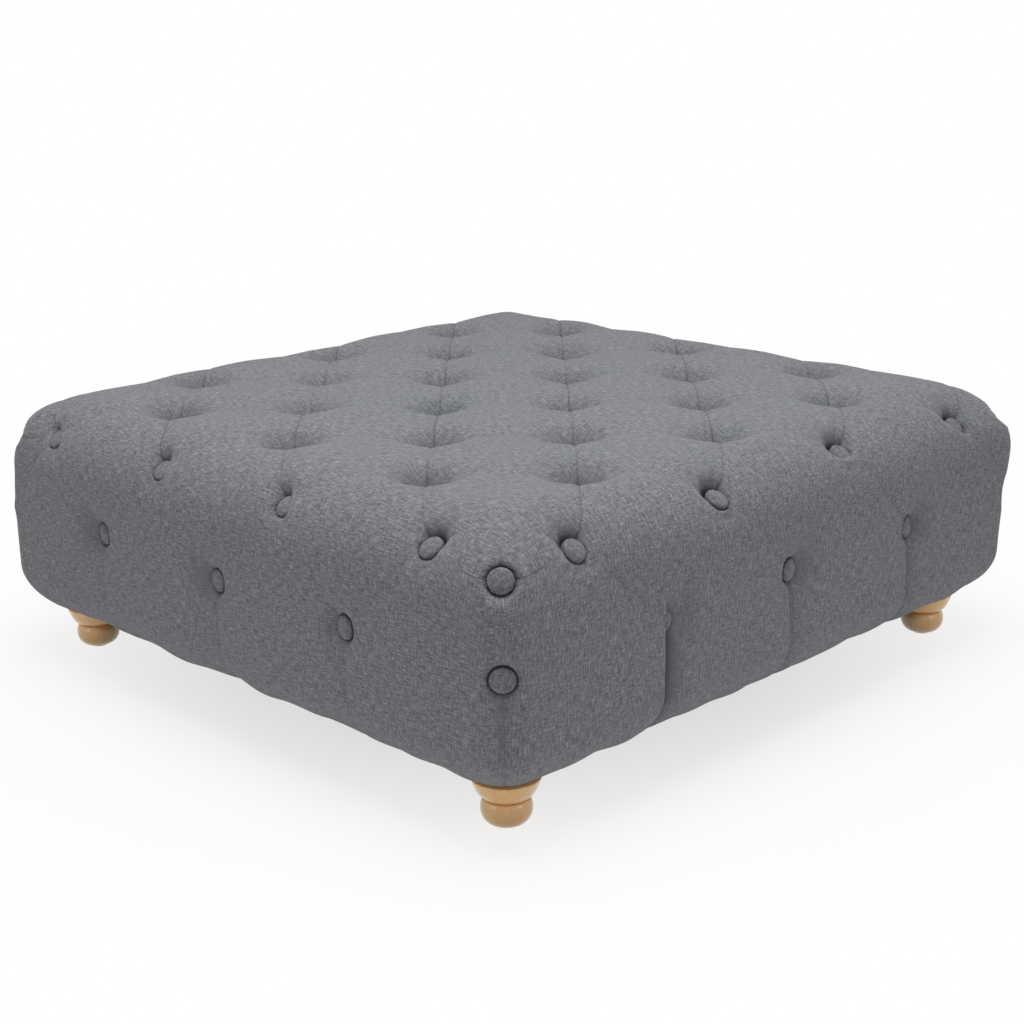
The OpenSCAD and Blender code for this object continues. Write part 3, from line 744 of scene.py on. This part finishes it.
# Radius and height of a covered button's outline, in millimetres, from its base to its middle
BUTTON_PROFILE = [
    (11.6, 0.0), (12.7, 0.7), (13.0, 2.0), (13.0, 3.6), (12.7, 4.9), (12.0, 5.9),
    (10.6, 6.7), (8.4, 7.3), (5.5, 7.75), (2.7, 8.0), (0.0, 8.05),
]
BUTTON_SIDES = 40
# Gathers of the fabric round a button's rim: how many, and how deep in millimetres
GATHERS, GATHER_DEEP = 11, 0.22
# How far a button may tip by chance, in degrees
MOST_TILT = 4


def band(a, b, sides):
    """Faces between two rings of points, given by the first point of each."""
    return [(a + j, a + (j + 1) % sides, b + (j + 1) % sides, b + j) for j in range(sides)]


def button_mesh(matrix, seed):
    """One covered button standing on z = 0 of a matrix, gathered a little round its rim."""
    r = np.random.default_rng(seed)
    spin, phase = r.uniform(0, FULL_TURN), r.uniform(0, FULL_TURN)
    tilt, lean = math.radians(r.uniform(0, MOST_TILT)), r.uniform(0, FULL_TURN)
    around = np.arange(BUTTON_SIDES) / BUTTON_SIDES * FULL_TURN
    uneven = 0.6 + 0.4 * np.sin(3 * around + spin)
    verts, uvs, gap = [], [], []
    for radius, z in BUTTON_PROFILE[:-1]:
        gather = GATHER_DEEP * smooth(8, 13, radius) * np.sin(GATHERS * around + phase) * uneven
        rr = (radius + gather) * MM
        verts.append(np.stack([rr * np.cos(around), rr * np.sin(around), z * MM + 0 * around], 1))
        run = radius if z > 3 else 13 + (3.4 - z)
        uvs.append(np.stack([run * MM * np.cos(around + spin), run * MM * np.sin(around + spin)], 1))
        # Painted shade, darkest low on the button's rim where it sits in the gap
        gap.append(np.full(BUTTON_SIDES, 1.8 * float(smooth(2.0, 7.2, z)) + 0.35))
    verts = np.concatenate(verts + [[[0, 0, BUTTON_PROFILE[-1][1] * MM]]])
    uvs = np.concatenate(uvs + [[[0, 0]]])
    gap = np.concatenate(gap + [[9.0]])
    m = matrix @ Matrix.Rotation(tilt, 4, Vector((math.cos(lean), math.sin(lean), 0)))
    verts = verts @ np.array(m.to_3x3()).T + np.array(m.translation)
    tip = len(verts) - 1
    last = tip - BUTTON_SIDES
    faces = [face for a in range(0, last, BUTTON_SIDES) for face in band(a, a + BUTTON_SIDES, BUTTON_SIDES)]
    faces += [(last + j, last + (j + 1) % BUTTON_SIDES, tip) for j in range(BUTTON_SIDES)]
    faces.append(tuple(reversed(range(BUTTON_SIDES))))
    return verts, faces, uvs, gap


def merged(name, meshes):
    """One object of several button meshes."""
    verts, faces, uvs, gap = zip(*meshes)
    starts = np.cumsum([0] + [len(v) for v in verts])
    faces = [tuple(k + start for k in face) for part, start in zip(faces, starts) for face in part]
    ob = new_object(name, np.concatenate(verts), faces)
    set_values(ob.data, "gap", np.concatenate(gap))
    set_uv(ob.data, np.concatenate(uvs))
    return ob


def side_matrix(run, step, degrees):
    """Where a button of a side's edge or lower row stands, and how it leans, turns and sinks."""
    place = turn_z(np.array([run / PITCH, step, 0]), degrees)
    place = (round(place[0]), round(place[1]))
    lean = math.radians(EDGE_LEAN + MORE_LEAN.get(place, 0)) if run == EDGE_RUN else 0
    shifted = turn_z(np.array([*centre(*place), 0]), -degrees)
    run, step = shifted[0] * PITCH, shifted[1]
    out, z = (float(k) for k in section(run, TUFT_SIDE))
    tip = float(top_turn(run)) - lean
    turn = math.radians(TURNED.get(place, 0)) * (-1 if degrees in (SIDES["right"], SIDES["left"]) else 1)
    return (
        Matrix.Rotation(math.radians(degrees), 4, "Z")
        @ Matrix.Translation((out, step * PITCH, z))
        @ Matrix.Rotation(tip, 4, "Y")
        @ Matrix.Translation((0, 0, -SUNK.get(place, 0) * MM))
        @ Matrix.Rotation(turn, 4, "X")
    )


def corner_matrix(run, corner):
    """Where a button of an upright corner stands."""
    c = CORNERS[corner]
    base, normal = corner_frame(run, *c)
    return (
        Matrix.Translation(base - corner_depth(run, corner) * normal)
        @ Matrix.Rotation(math.atan2(c[1], c[0]), 4, "Z")
        @ Matrix.Rotation(float(top_turn(run)), 4, "Y")
    )


inner_steps = range(1 - HALF, HALF)
button_places = {
    "top": [
        Matrix.Translation((i * PITCH, j * PITCH, TOTAL_H - TUFT_TOP))
        for i in inner_steps for j in inner_steps if (i + j) % 2 != 0
    ],
    "edge": [side_matrix(EDGE_RUN, j, t) for t in SIDES.values() for j in range(1 - HALF, HALF, 2)],
    "side": [side_matrix(LOWER_RUN, j, t) for t in SIDES.values() for j in range(2 - HALF, HALF - 1, 2)],
    "corner": [corner_matrix(run, corner) for run in (CORNER_RUN, LOWER_RUN) for corner in CORNERS],
}
buttons = []
for k, (name, places) in enumerate(button_places.items()):
    ob = merged("covered_%s_buttons" % name, [button_mesh(m, 100 * k + n) for n, m in enumerate(places)])
    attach(ob, ROOT)
    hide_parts(name + "_buttons")
    buttons.append(ob)


# Turned feet

NECK_Z = 31 * MM
BUN_Z = 18.5 * MM
BUN_D, NECK_D, COLLAR_D, BASE_D = 53.5 * MM, 43 * MM, 73 * MM, 25 * MM
FELT_T = 2 * MM
BOLT_D = 8 * MM
FOOT_TOP = FOOT_H - SOFT_GAP
COLLAR_TURN = 45
FOOT_SIDES = 96
# The narrow groove between bun and collar
GROOVE_DEEP, GROOVE_UP = 0.7 * MM, 0.1 * MM


def foot_profile():
    """Radius, height and how much painted shade it takes, from the base round the outside to the bolt hole.
    """
    turns = np.linspace(0, math.pi / 2, 15)
    pts = [(BOLT_D / 2, FELT_T, 0.0), (BASE_D / 4, FELT_T, 0.0)]
    for t in turns:
        shade = 0.5 * (1 - math.sin(t)) ** 2
        pts.append((mix(BASE_D, BUN_D, math.sin(t)) / 2, mix(BUN_Z, FELT_T, math.cos(t)), shade))
    for t in turns[1:]:
        shade = float(smooth(0.8, 1.0, math.sin(t)))
        pts.append((mix(NECK_D, BUN_D, math.cos(t)) / 2, mix(BUN_Z, NECK_Z, math.sin(t)), shade))
    pts.append((NECK_D / 2 - GROOVE_DEEP, NECK_Z + GROOVE_UP, 1.0))
    arc = math.radians(COLLAR_TURN)
    for t in np.linspace(0.1, 1, 14) * arc:
        flare, rise = math.sin(t) / math.sin(arc), (1 - math.cos(t)) / (1 - math.cos(arc))
        shade = float(1 - smooth(0.0, 0.35, flare)) * 0.5
        pts.append((mix(NECK_D, COLLAR_D, flare) / 2, mix(NECK_Z, FOOT_TOP, rise), shade))
    return pts + [(COLLAR_D / 4, FOOT_TOP, 0.3), (BOLT_D / 2, FOOT_TOP, 0.3)]


def foot_object(name, c):
    profile = foot_profile()
    around = np.arange(FOOT_SIDES) / FOOT_SIDES * FULL_TURN
    verts, shade = [], []
    for r, z, s in profile:
        x, y = r * np.cos(around) + c[0] * FOOT_R, r * np.sin(around) + c[1] * FOOT_R
        verts.append(np.stack([x, y, z + 0 * around], 1))
        shade.append(np.full(FOOT_SIDES, s))
    starts = [i * FOOT_SIDES for i in range(len(profile))]
    faces = [face for a, b in zip(starts, starts[1:] + [0]) for face in band(a, b, FOOT_SIDES)]
    ob = new_object(name, np.concatenate(verts), faces)
    set_values(ob.data, "shade", np.concatenate(shade))
    return ob


feet = []
for corner, c in CORNERS.items():
    ob = foot_object(corner + "_turned_foot", c)
    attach(ob, corner + "_leg")
    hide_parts(corner + "_foot")
    feet.append(ob)


# Dust cover: a flat cloth stapled under the rails, its corners cut away round the feet

CLOTH_SAG = 4 * MM
# How far the cloth hangs between two staples, and how far inwards that shows
RIPPLE, RIPPLE_REACH = 0.8 * MM, 45 * MM
STAPLES_A_SIDE = 9
CLOTH_CELLS = 80


def dust_cloth():
    low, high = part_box("dust_cover")
    edge, rail = high[0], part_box("right_rail")[0][0]
    notch = edge - FOOT_R + COLLAR_D / 2
    staple_step = 2 * (FOOT_R - COLLAR_D) / STAPLES_A_SIDE
    middle = np.linspace(notch - edge, edge - notch, CLOTH_CELLS + 1)
    lines = np.concatenate([[-edge, -rail], middle, [rail, edge]])
    x, y = np.meshgrid(lines, lines, indexing="ij")
    ring = np.maximum(np.abs(x), np.abs(y))
    run = np.where(np.abs(x) >= np.abs(y), y, x)
    sag = CLOTH_SAG * clamp(1 - (x / rail) ** 2) * clamp(1 - (y / rail) ** 2)
    hang = RIPPLE * (1 - np.cos(FULL_TURN * run / staple_step)) / 2
    hang = hang * np.exp(-np.maximum(rail - ring, 0) / RIPPLE_REACH)
    points = np.stack([x, y, high[2] - sag - hang], axis=-1).reshape(-1, 3)
    # All cells but the two outer rows where they cross at a corner
    n = len(lines)
    kept = range(2, n - 3)
    faces = [
        (i * n + j, (i + 1) * n + j, (i + 1) * n + j + 1, i * n + j + 1)
        for i in range(n - 1) for j in range(n - 1) if i in kept or j in kept
    ]
    used, faces = np.unique(faces, return_inverse=True)
    ob = new_object("black_dust_sheet", points[used], faces.reshape(-1, 4))
    thick = ob.modifiers.new("thickness", "SOLIDIFY")
    thick.thickness, thick.offset = high[2] - low[2], -1
    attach(ob, ROOT)
    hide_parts("dust_cover")
    return ob


dust_sheet = dust_cloth()


# Materials

class Tree:
    """Short calls that build a tree of shader nodes."""

    def __init__(self, owner):
        owner.use_nodes = True
        self.tree = owner.node_tree
        self.tree.nodes.clear()

    def add(self, kind):
        return self.tree.nodes.new("ShaderNode" + kind)

    def put(self, value, socket):
        """A value, or what another node gives, into a socket."""
        if hasattr(value, "links"):
            self.tree.links.new(value, socket)
        else:
            socket.default_value = value

    def filled(self, node, *values, **named):
        """A node's first output, once its sockets are filled, in order or by name."""
        for at, value in [*enumerate(values), *named.items()]:
            self.put(value, node.inputs[at])
        return node.outputs[0]

    def math(self, op, *values, clamp_it=False):
        node = self.add("Math")
        node.operation, node.use_clamp = op, clamp_it
        return self.filled(node, *values)

    def times(self, a, b):
        return self.math("MULTIPLY", a, b)

    def weighted(self, *pairs):
        """The sum of several values, each times its weight."""
        total, *others = (self.times(*pair) for pair in pairs)
        for value in others:
            total = self.math("ADD", total, value)
        return total

    def white_where_seen(self, surface, white, share=1.0):
        """A plain white instead of a surface where the camera, a reflection or glass sees it."""
        path = self.add("LightPath")
        bounced = self.math("MAXIMUM", path.outputs["Is Glossy Ray"], path.outputs["Is Transmission Ray"])
        seen = self.math("MAXIMUM", path.outputs["Is Camera Ray"], bounced)
        return self.filled(self.add("MixShader"), self.times(seen, share), surface, white)


class Finish(Tree):
    """Short calls that build one node material."""

    def __init__(self, name, rough=0.5, specular=0.5):
        self.mat = bpy.data.materials.new(name)
        super().__init__(self.mat)
        self.out = self.add("OutputMaterial")
        self.shader = self.add("BsdfPrincipled")
        self.put(self.shader.outputs[0], self.out.inputs["Surface"])
        self.give("Roughness", rough)
        self.give("Specular IOR Level", specular)

    def give(self, name, value):
        """The shader's input of that name."""
        self.put(value, self.shader.inputs[name])

    def scaled(self, vector, scale, shift=(0, 0, 0)):
        return self.filled(self.add("Mapping"), Vector=vector, Scale=scale, Location=shift)

    def noise(self, vector, detail=2.0, rough=0.5, warp=0.0):
        node = self.add("TexNoise")
        return self.filled(node, Vector=vector, Scale=1.0, Detail=detail, Roughness=rough, Distortion=warp)

    def ramp(self, fac, stops):
        node = self.add("ValToRGB")
        ramp = node.color_ramp
        while len(ramp.elements) < len(stops):
            ramp.elements.new(0.5)
        for e, (pos, colour) in zip(ramp.elements, stops):
            e.position = pos
            e.color = tuple(colour) + (1,)
        return self.filled(node, fac)

    def blend(self, fac, a, b, kind="MIX"):
        node = self.add("Mix")
        node.data_type, node.blend_type = "RGBA", kind
        self.put(fac, node.inputs[0])
        self.put(a, node.inputs[6])
        self.put(b if hasattr(b, "links") else tuple(b) + (1,), node.inputs[7])
        return node.outputs[2]

    def bump(self, height, distance, strength):
        bump = self.filled(self.add("Bump"), Height=height, Distance=distance, Strength=strength)
        self.give("Normal", bump)

    def stored(self, name):
        """What the mesh holds for each point under that name."""
        node = self.add("Attribute")
        node.attribute_name = name
        return node.outputs["Fac"]

    def threads(self):
        """Metres along the fabric's threads."""
        node = self.add("UVMap")
        node.uv_map = "threads"
        return self.scaled(node.outputs[0], (UV_SPAN, UV_SPAN, 1))

    def place(self):
        return self.add("TexCoord").outputs["Object"]

    def part(self, vector, axis):
        node = self.add("SeparateXYZ")
        self.put(vector, node.inputs[0])
        return node.outputs[axis]


# Two threads of the weave, over and under
THREAD_STEP = 1.5 * MM
# Slubs of the linen to the metre, along a thread and across it, and the specks between them
SLUBS_ALONG, SLUBS_ACROSS, SPECKS = 90, 600, 420
# Colours of dark, usual and light threads, as shares of a fabric's level
THREADS = ((0.36, (0.36, 0.36, 0.39)), (0.5, (0.94, 0.945, 1.02)), (0.66, (2.0, 2.0, 2.1)))
# How dark the painted shade makes the cloth where it is closed in, and how much more its threads calm there
PAINTED_SHADE_DARK, CLOSED_CALM = 0.7, 2.2


def linen(name, level, seed):
    """Heathered linen weave: light and dark slubs both ways over a plain weave, with painted shade in
    hollows and along creases.
    """
    n = Finish(name, rough=0.92, specular=0.2)
    uv = n.threads()
    closed = n.stored("closed")
    weft = n.noise(n.scaled(uv, (SLUBS_ALONG, SLUBS_ACROSS, 1), (seed, 0, 0)), detail=3, rough=0.6)
    warp = n.noise(n.scaled(uv, (SLUBS_ACROSS, SLUBS_ALONG, 1), (0, seed, 3)), detail=3, rough=0.6)
    speck = n.noise(n.scaled(uv, (SPECKS, SPECKS, 1), (seed, 5, 7)), detail=2, rough=0.7)
    cloud = n.noise(n.scaled(n.place(), (4, 4, 4)), detail=3, rough=0.55)
    mixed = n.weighted((weft, 0.42), (warp, 0.33), (speck, 0.25))
    # In deep hollows the stretched threads show less
    bare = n.math("SUBTRACT", 1.0, n.math("MULTIPLY", closed, CLOSED_CALM, clamp_it=True))
    mixed = n.math("ADD", n.times(n.math("SUBTRACT", mixed, 0.5), bare), 0.5)
    colour = n.ramp(mixed, [(at, tuple(level * k for k in shares)) for at, shares in THREADS])
    tint = n.ramp(cloud, [(0.35, (0.96, 0.99, 1.0)), (0.65, (1.02, 0.99, 1.0))])
    colour = n.blend(1.0, colour, tint, "MULTIPLY")
    # Painted shade where the cloth is closed in
    colour = n.blend(n.times(closed, PAINTED_SHADE_DARK), colour, (0.012, 0.012, 0.014))
    # Painted shade lines along the creases and round the buttons
    line = n.math("EXPONENT", n.times(n.stored("gap"), -1 / (LINE_REACH / MM)))
    colour = n.blend(n.times(line, 0.85), colour, (0.010, 0.010, 0.012))
    n.give("Base Color", colour)
    n.give("Sheen Weight", 0.15)
    n.give("Sheen Roughness", 0.6)
    weave = n.times(*(n.math("SINE", n.times(n.part(uv, k), FULL_TURN / THREAD_STEP)) for k in (0, 1)))
    n.bump(n.math("ADD", mixed, n.times(weave, 0.12)), 0.9 * MM, 0.7)
    return n.mat


# Honey wood: its dark, usual and light grain, and the brown painted shade in the neck's groove, under the
# bun and on the collar
HONEY = ((0.3, (0.97, 0.51, 0.16)), (0.5, (1.0, 0.61, 0.23)), (0.7, (1.0, 0.71, 0.33)))
PAINTED_SHADE_BROWN = (0.34, 0.13, 0.04)


def turned_wood(name, seed):
    """Varnished honey wood with its grain running up the foot."""
    n = Finish(name)
    at = n.scaled(n.place(), (1, 1, 1), (seed * 0.13, seed * 0.07, 0))
    patch = n.noise(n.scaled(at, (30, 30, 9)), detail=2)
    grain = n.noise(n.scaled(at, (420, 420, 22)), detail=4, rough=0.6, warp=0.3)
    streak = n.noise(n.scaled(at, (110, 110, 7)), detail=3, rough=0.55, warp=0.5)
    rings = n.weighted((streak, 0.6), (grain, 0.4))
    tint = n.ramp(patch, [(0.35, (0.96, 0.90, 0.84)), (0.65, (1.03, 1.02, 1.0))])
    colour = n.blend(1.0, n.ramp(rings, HONEY), tint, "MULTIPLY")
    # Painted shade: brown where the foot's profile is marked as shaded, most in the neck's groove
    colour = n.blend(n.times(n.stored("shade"), 0.55), colour, PAINTED_SHADE_BROWN)
    n.give("Base Color", colour)
    n.give("Roughness", n.math("ADD", 0.26, n.times(grain, 0.16)))
    n.give("Coat Weight", 0.9)
    n.give("Coat Roughness", 0.08)
    n.bump(grain, 0.1 * MM, 0.4)
    return n.mat


def sawn_wood(name, dark, light, scale):
    n = Finish(name, rough=0.75)
    at = n.place()
    grain = n.noise(n.scaled(at, scale), detail=5, rough=0.62, warp=0.4)
    fine = n.noise(n.scaled(at, tuple(6 * k for k in scale)), detail=3)
    mixed = n.weighted((grain, 0.7), (fine, 0.3))
    n.give("Base Color", n.ramp(mixed, [(0.35, dark), (0.65, light)]))
    n.bump(mixed, 0.3 * MM, 0.5)
    return n.mat


def felt(name, colour, size):
    """Matted fibres: felt, twine or non-woven cloth."""
    n = Finish(name, rough=0.97, specular=0.1)
    hair = n.noise(n.scaled(n.place(), (size, size, size)), detail=6, rough=0.75, warp=1.2)
    dark, light = (tuple(share * k for k in colour) for share in (0.55, 1.5))
    n.give("Base Color", n.ramp(hair, [(0.35, dark), (0.65, light)]))
    n.bump(hair, 0.4 * MM, 0.8)
    return n.mat


def metal(name, colour, rough):
    n = Finish(name)
    patches = n.noise(n.scaled(n.place(), (900, 900, 900)), detail=3)
    n.give("Base Color", n.ramp(patches, [(0.3, tuple(0.8 * k for k in colour)), (0.7, colour)]))
    n.give("Metallic", 1.0)
    n.give("Roughness", n.math("ADD", rough, n.times(patches, 0.2)))
    return n.mat


def dress(obj, mat):
    obj.data.materials.clear()
    obj.data.materials.append(mat)


cover_linen = linen("grey_linen", 0.222, 0.0)
button_linen = linen("grey_linen_buttons", 0.212, 4.0)
for ob in pads.values():
    dress(ob, cover_linen)
for ob in buttons:
    dress(ob, button_linen)
for k, ob in enumerate(feet, start=1):
    dress(ob, turned_wood("honey_wood_%d" % k, float(k)))

MATERIALS = {
    "pine": sawn_wood("sawn_pine", (0.42, 0.27, 0.13), (0.62, 0.45, 0.26), (30, 30, 30)),
    "plywood": sawn_wood("plywood", (0.36, 0.23, 0.11), (0.55, 0.39, 0.22), (40, 8, 40)),
    "dowel_beech": sawn_wood("beech_dowel", (0.45, 0.30, 0.17), (0.60, 0.43, 0.27), (90, 90, 90)),
    "twine": felt("waxed_twine", (0.62, 0.60, 0.54), 1500),
    "felt": felt("brown_felt", (0.075, 0.055, 0.042), 900),
    "dust_cloth": felt("black_dust_cloth", (0.022, 0.022, 0.024), 700),
    "zinc_steel": metal("zinc_steel", (0.66, 0.67, 0.70), 0.3),
    "insert_brass": metal("insert_brass", (0.70, 0.52, 0.24), 0.25),
}
for part in frame["record"]["subparts"]:
    if part["material_slot"] in MATERIALS:
        dress(frame["nodes"][part["node"]], MATERIALS[part["material_slot"]])
dress(dust_sheet, MATERIALS["dust_cloth"])


# Studio

FLOOR_R = 9
WHITE = (1, 1, 1, 1)


def white_floor():
    """A pale floor that is seen white, all but the object's shadow near the middle."""
    n = Finish("white_floor", rough=0.9, specular=0.0)
    n.give("Base Color", (0.92, 0.92, 0.92, 1))
    away = n.add("VectorMath")
    away.operation = "LENGTH"
    n.put(n.place(), away.inputs[0])
    share = n.math("MULTIPLY_ADD", away.outputs["Value"], 0.6, 0.5, clamp_it=True)
    glow = n.filled(n.add("Emission"), Color=WHITE, Strength=1.0)
    n.put(n.white_where_seen(n.shader.outputs[0], glow, share), n.out.inputs["Surface"])
    return n.mat


def studio_world():
    """Soft light from all round, behind which everything is seen white."""
    world = bpy.data.worlds.new("studio")
    n = Tree(world)
    soft = n.filled(n.add("Background"), Color=(0.98, 0.99, 1.0, 1), Strength=0.15)
    white = n.filled(n.add("Background"), Color=WHITE, Strength=1.0)
    n.put(n.white_where_seen(soft, white), n.add("OutputWorld").inputs["Surface"])
    return world


def softbox(name, place, target, size, power):
    lamp = bpy.data.lights.new(name, "AREA")
    lamp.shape = "SQUARE"
    lamp.size, lamp.energy = size, power
    ob = linked(name, lamp)
    ob.location = place
    ob.rotation_euler = (Vector(target) - Vector(place)).to_track_quat("-Z", "Y").to_euler()


floor_corners = [(FLOOR_R * x, FLOOR_R * y, 0) for x, y in ((-1, -1), (1, -1), (1, 1), (-1, 1))]
floor = new_object("studio_floor", floor_corners, [(0, 1, 2, 3)])
dress(floor, white_floor())
bpy.context.scene.world = studio_world()
softbox("overhead", (0.2, -0.2, 2.5), (0.05, -0.05, 0.2), size=1.7, power=52)
softbox("right", (2.75, 0.3, 0.75), (0.4, 0.0, 0.12), size=1.1, power=6.1)
softbox("left", (-0.3, -2.75, 0.75), (0.0, -0.4, 0.12), size=1.1, power=6.1)


# Camera, fitted to the photograph's button grid, outline and feet

AZIMUTH, ELEVATION, ROLL = math.radians(45.524), math.radians(16.594), math.radians(-1.076)
CAMERA_AT = (1.54157, -1.50512, 0.81001)
SENSOR_W, LENS = 36, 62.513

camera_data = bpy.data.cameras.new("photo_view")
camera_data.sensor_width, camera_data.lens = SENSOR_W, LENS
camera = linked("photo_view", camera_data)
camera.matrix_world = (
    Matrix.Translation(CAMERA_AT)
    @ Matrix.Rotation(AZIMUTH, 4, "Z")
    @ Matrix.Rotation(math.pi / 2 - ELEVATION, 4, "X")
    @ Matrix.Rotation(ROLL, 4, "Z")
)
bpy.context.scene.camera = camera
bpy.context.scene.view_settings.view_transform = "Standard"
